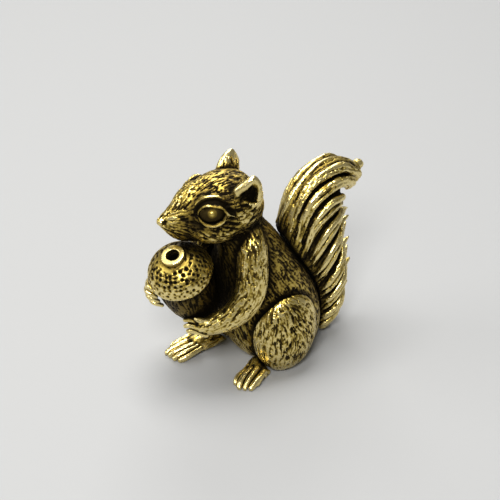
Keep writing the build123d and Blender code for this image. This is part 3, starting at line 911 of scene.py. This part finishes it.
def patina_and_light_at(points, facing, shelter=0.5):
    """Dark in the strokes and the hollows, worn bright on what stands proud, with painted shade in the wider
    hollows and underneath, and painted light on what faces up.
    """
    strokes = sample(ink, points, low, voxel)
    close = sample(near_round, points, low, coarse * voxel) - near_flat
    # Painted shade: darker where more metal lies round a place, further off
    wide = sample(far_round, points, low, coarse * voxel) - far_flat
    hollow_patina_and_shade = np.clip(close * near_gain, *near_range) + np.clip(wide * far_gain, far_least, shelter)
    # Painted light: darker underneath, lighter on top
    facing_light = np.interp(facing, *facing_light_table).astype(np.float32)
    # Painted light: the strokes show less on what faces up
    stroke_weight = stroke_dark - stroke_top_light * np.clip(facing, 0, 1)
    return strokes * stroke_weight + hollow_patina_and_shade + facing_light + sample(stains_and_shade, points, low, voxel) + base_patina


def cap_patina_and_light(points, facing):
    """Painted light: bright on top, and dark towards the rim, with no darkening from the wider painted shade.
    """
    return patina_and_light_at(points, facing, 0.0) + np.interp(facing, *cap_facing_light).astype(np.float32)


def eye_tone_and_glint(sign):
    """A dark bead with a painted highlight on its pupil."""
    middle, back, over, out = eye_axes(sign)

    def patina_and_light(points, facing):
        away = points - middle
        off = np.hypot(away @ back - glint_back, away @ over - pupil_up)
        return np.interp(off, *bead_and_glint_table).astype(np.float32)

    return patina_and_light


def mesh_of(name, field, first, node, patina_and_light=patina_and_light_at):
    """A piece as the figure shows it, from its field."""
    grid = vdb.FloatGrid(band)
    grid.copyFromArray(field.astype(np.float32))
    grid.transform = vdb.createLinearTransform(voxelSize=voxel)
    points, quads = grid.convertToQuads(isovalue=0)
    points = points + low + first * voxel
    quads = quads[:, ::-1]
    mesh = bpy.data.meshes.new(name)
    mesh.from_pydata((points * MM).tolist(), [], quads.tolist())
    mesh.polygons.foreach_set("use_smooth", np.ones(len(quads), bool))
    normals = np.empty(len(points) * 3, np.float32)
    mesh.vertex_normals.foreach_get("vector", normals)
    values = np.clip(patina_and_light(points.astype(np.float32), normals[2::3]), 0, 1)
    mesh.attributes.new("patina_and_light", "FLOAT", "POINT").data.foreach_set("value", values)
    mesh.materials.append(metal)
    obj = bpy.data.objects.new(name, mesh)
    bpy.context.scene.collection.objects.link(obj)
    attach(obj, "root")
    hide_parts(node)


def others(name, w):
    """Distance to the nearest of the other sections, in a window."""
    out = np.full(w.last - w.first, band, np.float32)
    for other, (v, field) in fields.items():
        if other == name:
            continue
        shared = copy(w)
        shared.clip(v)
        if shared.empty:
            continue
        here, there = shared.within(w), shared.within(v)
        out[here] = np.minimum(out[here], field[there])
    return out


# The skin is cut into pieces. Each reaches past its seams by the overlap, and lies lower there by a step
seam_start, seam_step, seam_overlap = -0.02, 0.03, 0.12
for name, (w, field) in fields.items():
    border = field - others(name, w)
    piece = np.maximum(skin[w.slices] + np.where(border > seam_start, seam_step, 0), border - seam_overlap)
    piece[0], piece[-1], piece[:, 0], piece[:, -1], piece[:, :, 0], piece[:, :, -1] = (band,) * 6
    mesh_of(name + "_skin", piece, w.first, name)

# The pieces beside it, each eye with a raised pupil
pupil_out = {1: 0.8, -1: 1.3}
pupil_size, pupil_blend = (0.7, 0.65, 0.55), 0.15
for name, (w, field) in beside.items():
    patina_and_light = patina_and_light_at if name == "acorn_nut" else cap_patina_and_light
    if name.startswith("eye"):
        sign = 1 if name == "eye_left" else -1
        middle, back, over, out = eye_axes(sign)
        pupil = middle + out * pupil_out[sign] + over * pupil_up
        field = smooth_min(field, egg(w, pupil, pupil_size, (back, over, out)), pupil_blend)
        patina_and_light = eye_tone_and_glint(sign)
    mesh_of(name + "_skin", field, w.first, name, patina_and_light)


# Floor, lights and camera. A lamp has its place and its two sides in metres, and its power in watts
floor_reach = 2.0
floor_tone, floor_roughness = (0.24, 0.24, 0.236, 1), 0.9
world_tone, world_strength = (0.8, 0.8, 0.8, 1), 0.3
lamps = {
    "key": ((-0.06, 0.0, 0.41), (0.22, 0.22), 2.6),
    "fill": ((-0.24, -0.32, 0.25), (0.25, 0.25), 0.9),
    "front": ((0.22, -0.24, 0.36), (0.12, 0.12), 2.2),
    "back": ((-0.30, 0.22, 0.28), (0.26, 0.22), 1.3),
}
lit_place = (0, 0, 0.018)


def floor():
    """A plain pale floor."""
    a, b = -floor_reach, floor_reach
    mesh = bpy.data.meshes.new("floor")
    mesh.from_pydata([(a, a, 0), (b, a, 0), (b, b, 0), (a, b, 0)], [], [(0, 1, 2, 3)])
    mat = bpy.data.materials.new("floor")
    mat.use_nodes = True
    shader = mat.node_tree.nodes["Principled BSDF"]
    shader.inputs["Base Color"].default_value = floor_tone
    shader.inputs["Roughness"].default_value = floor_roughness
    mesh.materials.append(mat)
    obj = bpy.data.objects.new("floor", mesh)
    bpy.context.scene.collection.objects.link(obj)


def lamp(name, place, target, size, power):
    """A soft lamp that points at a target."""
    data = bpy.data.lights.new(name, "AREA")
    data.shape = "RECTANGLE"
    data.size, data.size_y = size
    data.energy = power
    obj = bpy.data.objects.new(name, data)
    obj.location = place
    obj.rotation_euler = (Vector(target) - Vector(place)).to_track_quat("-Z", "Y").to_euler()
    bpy.context.scene.collection.objects.link(obj)


floor()
for name, (place, size, power) in lamps.items():
    lamp(name, place, lit_place, size, power)

world = bpy.data.worlds.new("world")
bpy.context.scene.world = world
world.use_nodes = True
sky = world.node_tree.nodes["Background"]
sky.inputs["Color"].default_value = world_tone
sky.inputs["Strength"].default_value = world_strength

data = bpy.data.cameras.new("camera")
data.lens = camera_lens
data.sensor_width = camera_sensor
data.clip_start = camera_near_clip * MM
camera = bpy.data.objects.new("camera", data)
camera.location = Vector(camera_place) * MM
camera.rotation_euler = Vector(camera_aim).to_track_quat("-Z", "Y").to_euler()
bpy.context.scene.collection.objects.link(camera)
bpy.context.scene.camera = camera
bpy.context.scene.view_settings.view_transform = "Standard"
